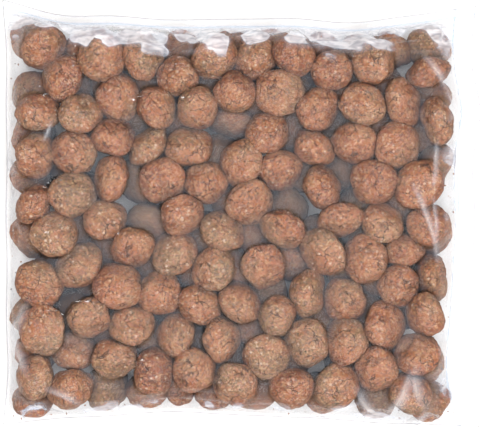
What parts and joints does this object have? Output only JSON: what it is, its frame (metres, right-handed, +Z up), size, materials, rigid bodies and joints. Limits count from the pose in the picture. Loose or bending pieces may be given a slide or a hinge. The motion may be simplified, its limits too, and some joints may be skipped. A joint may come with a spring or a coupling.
{
  "type": "bag of meatballs",
  "caption": "Clear sealed bag of small round Italian-style meatballs in two loose layers, lying flat.",
  "frame": {"origin": "on the surface that the bag lies on, under the middle of its outline", "axes": "+X across the bag towards its wide right seal, +Y towards the top seam, +Z up out of the shown face"},
  "size_m": [0.3339, 0.299, 0.051],
  "materials": {
    "meatball": "browned minced meat with herb specks, matt and crumbly",
    "film": "thin clear plastic film, glossy and slightly milky where it isn't in contact"
  },
  "bodies": {
    "root": {"sealed_bag": "meatball"}
  },
  "joints": []
}
